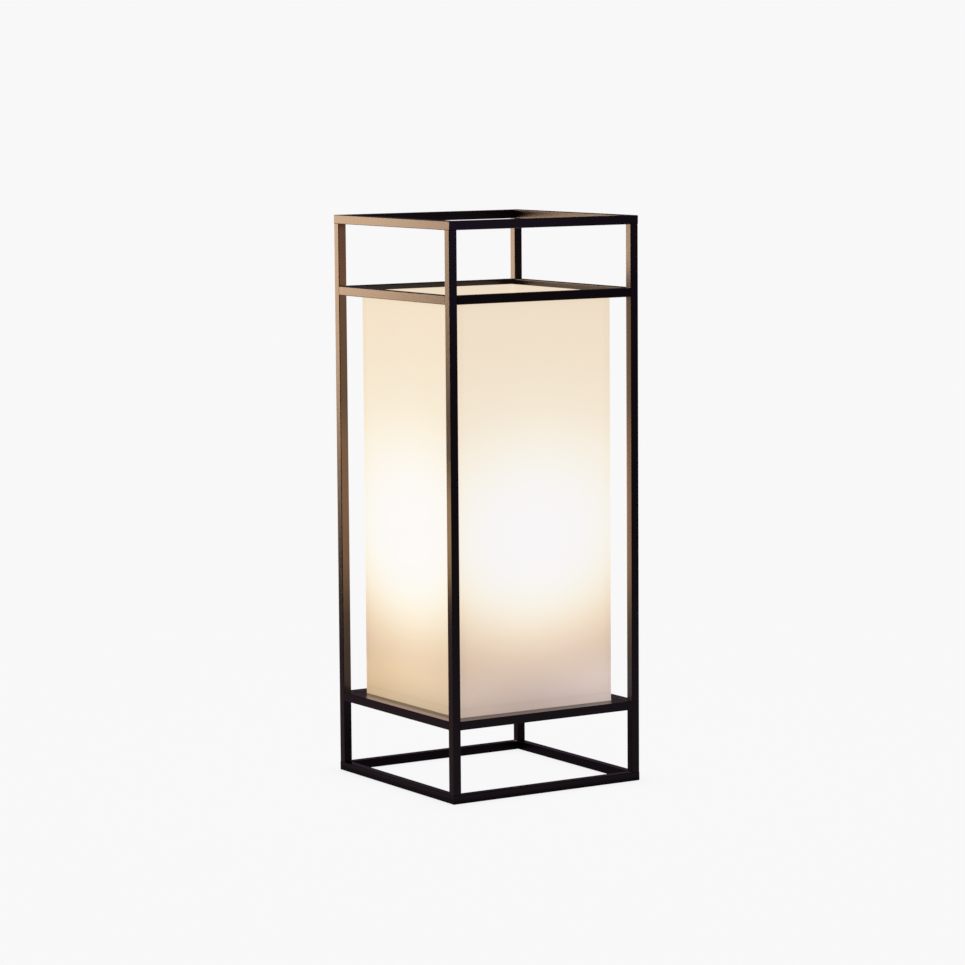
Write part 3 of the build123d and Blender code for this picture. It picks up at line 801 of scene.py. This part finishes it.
# %% Floor
floor_radius = 1.2
floor_points = 96  # round its rim
floor_drop = 0.0003  # under the base rails, so that the faces don't coincide
shadow_reach = 0.05
shadow_level = 0.90
shadow_full = 0.3  # share of open sky at which the shadow is deepest
bpy.ops.object.select_all(action="DESELECT")
bpy.ops.mesh.primitive_circle_add(
    vertices=floor_points, radius=floor_radius, fill_type="NGON", location=(0, 0, -floor_drop)
)
floor = bpy.context.object
floor.name = "floor"
floor_white, floor_surface = new_finish("floor_white", Roughness=0.9, Specular_IOR_Level=0.0)
open_sky = add_node(floor_white, "ShaderNodeAmbientOcclusion", Distance=shadow_reach).outputs["AO"]
glow_level = between(floor_white, open_sky, shadow_level * studio_white, studio_white, shadow_full, 1.0)
floor_surface.inputs["Base Color"].default_value = (0.02, 0.02, 0.02, 1)
floor_surface.inputs["Emission Color"].default_value = (1, 1, 1, 1)
feed(floor_white, glow_level, floor_surface.inputs["Emission Strength"])
floor.data.materials.append(floor_white)
floor.visible_diffuse = False
floor.visible_glossy = False
print("floor:", floor_radius, "in radius, white", studio_white)

# %% [markdown]
# ## Soft lights
# A soft light is an area light: a rectangle that glows evenly. The helper sets it by the radiance of its
# face, which is what a mirror would show, so the energy is that radiance times pi times the area. Light
# linking says which pieces the light reaches, and lets the dark cage and the glowing shade be lit apart.

# %% Soft lights
def soft_light(name, place, towards, width, height, radiance, colour, receivers, rolled=0.0):
    """A rectangle of even light on some of the pieces, which the camera doesn't see."""
    bpy.ops.object.select_all(action="DESELECT")
    bpy.ops.object.light_add(type="AREA", location=place)
    light = bpy.context.object
    light.name = name
    light.data.shape = "RECTANGLE"
    light.data.size = width
    light.data.size_y = height
    light.data.energy = radiance * pi * width * height
    light.data.color = colour
    light.visible_camera = False
    light.rotation_mode = "QUATERNION"
    facing = (Vector(towards) - Vector(place)).to_track_quat("-Z", "Y")
    light.rotation_quaternion = facing @ Quaternion((0, 0, 1), rolled)
    light.light_linking.receiver_collection = receivers
    return light


# %% [markdown]
# ## Groups for the lights
# A collection lists what a light reaches. The cage group holds all that stays put, and the pale group holds
# the shade and the lamp. The finer pieces made above join the group of the body that they ride on. The
# smaller groups pick out posts and rails.

# %% Groups for the lights
def group_of(name, pieces):
    """A collection of those pieces, for light linking."""
    group = bpy.data.collections.new(name)
    for piece in pieces:
        group.objects.link(piece)
    return group


def named(*starts):
    """The pieces whose names start in one of those ways."""
    return [node for name, node in nodes.items() if name.startswith(starts)]


on_frame = [node for node in nodes.values() if node["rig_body"] == "frame"]
on_movers = [node for node in nodes.values() if node["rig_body"] != "frame"]
cage = group_of("cage", [*on_frame, stem, sleeve, welds])
pale = group_of("pale", [*on_movers, cap])
posts = group_of("posts", named("post"))
tubes = group_of("tubes", named("post", "base_rail", "shelf_rail", "upper_rail", "top_rail"))
upper_cage = group_of("upper_cage", named("post", "upper_rail", "top_rail"))
crown = group_of("crown", named("post", "top_rail"))
near_post = group_of("near_post", [nodes["post_front_left"]])

# %% [markdown]
# ## Lamp
# A point light stands where the glow of the shade starts. It lights only the cage, and it shows once the
# shade is lifted. The globe is left out of what blocks it, or no light would get out. The housing and the
# board under the globe do block it, so the lampholder stands in their shadow.

# %% Lamp
lamp_tint = (1.0, 0.76, 0.48)
lamp_energy = 2.4
lamp_radius = 0.028
lamp_blockers = [node for node in nodes.values() if node["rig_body"] != "lamp"]
lamp_blockers += [nodes["lamp_housing"], nodes["light_board"]]
bpy.ops.object.select_all(action="DESELECT")
bpy.ops.object.light_add(type="POINT", location=light_centre)
lamp_light = bpy.context.object
lamp_light.name = "lamp_light"
lamp_light.data.shadow_soft_size = lamp_radius
lamp_light.data.energy = lamp_energy
lamp_light.data.color = lamp_tint
lamp_light.visible_camera = False
lamp_light.light_linking.receiver_collection = cage
lamp_light.light_linking.blocker_collection = group_of("round_lamp", lamp_blockers)
print("lamp: blocked by", len(lamp_blockers), "pieces")

# %% [markdown]
# ## Softbox and ground
# A warm softbox stands behind the lantern on the left, where the paint of the left faces mirrors it. It is
# rolled towards its corner, and its slanting lower edge is what makes those faces fade towards the foot. Pale
# ground in front and on the left throws a little light up, violet from the one and rosy from the other.

# %% Softbox and ground
softbox_place, softbox_aim = (-0.530, 1.397, 0.640), (0.15, 0.32, 0.79)
softbox_side, softbox_radiance, softbox_tint = 0.9, 7.4, (1.0, 0.67, 0.43)
softbox_roll = radians(50)
ground_long, ground_deep, ground_radiance = 1.3, 1.08, 0.12
ground_distance, ground_height = 0.68, 0.0006
soft_light(
    "warm_side", softbox_place, softbox_aim, softbox_side, softbox_side, softbox_radiance, softbox_tint,
    upper_cage, rolled=softbox_roll,
)
place = Vector((0.2, -ground_distance, ground_height))
above = Vector((place.x, place.y, 1))
violet = (0.95, 0.78, 1.0)
soft_light("front_ground", place, above, ground_long, ground_deep, ground_radiance, violet, cage)
place = Vector((-ground_distance, 0.0, ground_height))
above = Vector((place.x, place.y, 1))
rosy = (1.0, 0.62, 0.70)
soft_light("left_ground", place, above, ground_deep, ground_long, ground_radiance, rosy, cage)
print("softbox", softbox_side, "wide, ground", ground_long, "by", ground_deep)

# %% [markdown]
# ## Graded lights
# The lit walls are far brighter than a picture can show, so soft panels just in front of them give the posts
# and rails the light that the walls really send out. A panel is graded from foot to top as its wall is. A
# light's Parametric output tells how far across or up its face a place lies, and a colour ramp does the rest.

# %% Graded lights
panel_gap = 0.001
panel_width = 0.20
panel_tint = (1.0, 0.45, 0.14)
foot_panel_tint = (1.0, 0.55, 0.60)
foot_end = 0.14  # height up to which a panel counts as foot
panel_levels = {  # height of a place on the wall, and the panel's radiance there
    0.092: 0.48,
    0.130: 0.42,
    0.180: 0.80,
    0.240: 3.00,
    0.300: 3.60,
    0.380: 3.20,
    0.430: 1.90,
    0.550: 1.80,
}
panel_low, panel_high = min(panel_levels), max(panel_levels)
brightest = max(panel_levels.values())


def shade_light(light, axis, spots):
    """Makes a light's colour follow the place on its face, from 0 to 1 across ("X") or up ("Y")."""
    light.data.use_nodes = True
    tree = light.data.node_tree
    ramp = tree.nodes.new("ShaderNodeValToRGB")
    marks = ramp.color_ramp.elements
    while len(marks) < len(spots):
        marks.new(1.0)
    for mark, (place, colour) in zip(marks, spots.items()):
        mark.position = place
        mark.color = (*colour, 1)
    face = tree.nodes.new("ShaderNodeNewGeometry").outputs["Parametric"]
    parts = tree.nodes.new("ShaderNodeSeparateXYZ")
    tree.links.new(face, parts.inputs["Vector"])
    tree.links.new(parts.outputs[axis], ramp.inputs["Fac"])
    tree.links.new(ramp.outputs["Color"], tree.nodes["Emission"].inputs["Color"])


def panel_spots(foot_share):
    """Colours of a wall's panel from its foot to its top, as shares of the brightest."""
    spots = {}
    for height, radiance in panel_levels.items():
        at_foot = height < foot_end
        level = radiance / brightest * (foot_share if at_foot else 1.0)
        tint = foot_panel_tint if at_foot else panel_tint
        spots[(height - panel_low) / (panel_high - panel_low)] = tuple(level * part for part in tint)
    return spots


print("panels from", panel_low, "to", panel_high, "up the walls")

# %% [markdown]
# ## Lights of the four sides
# Each side has three lights. The panel lights the posts and rails. A wide fill stands for the room and
# lights the sheet. A thin strip lights the foot of the sheet, which the lamp hardly reaches, in tints that
# change from end to end. The panel and the strip ride on the shade, so they go up with it.

# %% Lights of the four sides
white, warm_white, cool_white = (1.0, 1.0, 1.0), (1.0, 0.97, 0.78), (0.98, 0.98, 1.0)
warm_foot = [(0.90, 0.66, 0.26), (0.75, 0.66, 0.42), (0.66, 0.58, 0.42)]  # from end to end of the wall
cool_foot = [(0.52, 0.51, 0.50), (0.04, 0.10, 0.22), (0.70, 0.72, 0.82)]
foot_places = (0.1, 0.5, 0.9)  # where those tints lie along the strip
fill_distance, fill_height, fill_side = 1.65, 0.5, 1.2
fill_aim = Vector((0, 0, 0.3))
strip_distance, strip_height, strip_length, strip_width = 0.16, 0.108, 0.28, 0.02
strip_aim = Vector((0, 0, 0.1))
sides = {  # way out, share of the panel and of its foot, then radiance and tint of the fill and of the strip
    "left": ((-1, 0, 0), 1.0, 0.95, 1.0, warm_white, 2.5, warm_foot),
    "right": ((1, 0, 0), 1.5, 0.15, 0.6, cool_white, 3.8, cool_foot[::-1]),
    "front": ((0, -1, 0), 1.0, 0.15, 0.6, cool_white, 3.8, cool_foot),
    "back": ((0, 1, 0), 1.0, 1.6, 0.8, warm_white, 2.4, warm_foot[::-1]),
}
for side, (way, share, foot_share, fill, fill_tint, foot_fill, foot_tint) in sides.items():
    out = Vector(way)
    place = out * (wall_distance + panel_gap) + Vector((0, 0, (panel_low + panel_high) / 2))
    panel_height = panel_high - panel_low
    panel = soft_light(
        side + "_panel", place, place + out, panel_width, panel_height, brightest * share, white, tubes
    )
    shade_light(panel, "Y", panel_spots(foot_share))
    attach(panel, "shade")
    place = out * fill_distance + Vector((0, 0, fill_height))
    soft_light(side + "_fill", place, fill_aim, fill_side, fill_side, fill, fill_tint, pale)
    place = out * strip_distance + Vector((0, 0, strip_height))
    foot_light = soft_light(
        side + "_foot_fill", place, strip_aim, strip_length, strip_width, foot_fill, white, pale
    )
    shade_light(foot_light, "X", dict(zip(foot_places, foot_tint)))
    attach(foot_light, "shade")
print("lights on each of", len(sides), "sides: 3")

# %% [markdown]
# ## Three small lights
# The last three are for the cage alone. One is the glow of the top of the left wall on the posts, one gives
# the crown a violet sheen from in front, and one is a warm patch on the near post.

# %% Three small lights
place = Vector((-wall_distance - panel_gap, 0, 0.591))
top_panel_height, top_panel_radiance, top_panel_tint = 0.082, 2.8, (1.0, 0.43, 0.19)
soft_light(
    "left_top_panel", place, place + Vector((-1, 0, 0)), panel_width, top_panel_height,
    top_panel_radiance, top_panel_tint, posts,
)
place, towards = (0.62, -1.40, 0.60), (-0.03, -0.12, 0.63)
width, height, radiance, tint = 0.40, 0.16, 0.58, (0.55, 0.42, 1.0)
soft_light("violet_front", place, towards, width, height, radiance, tint, crown)
place, towards = (-0.39, 0.30, 0.242), (-0.125, -0.12, 0.298)
width, height, radiance, tint = 0.3, 0.13, 3.3, (1.0, 0.62, 0.29)
soft_light("near_post_glow", place, towards, width, height, radiance, tint, near_post)
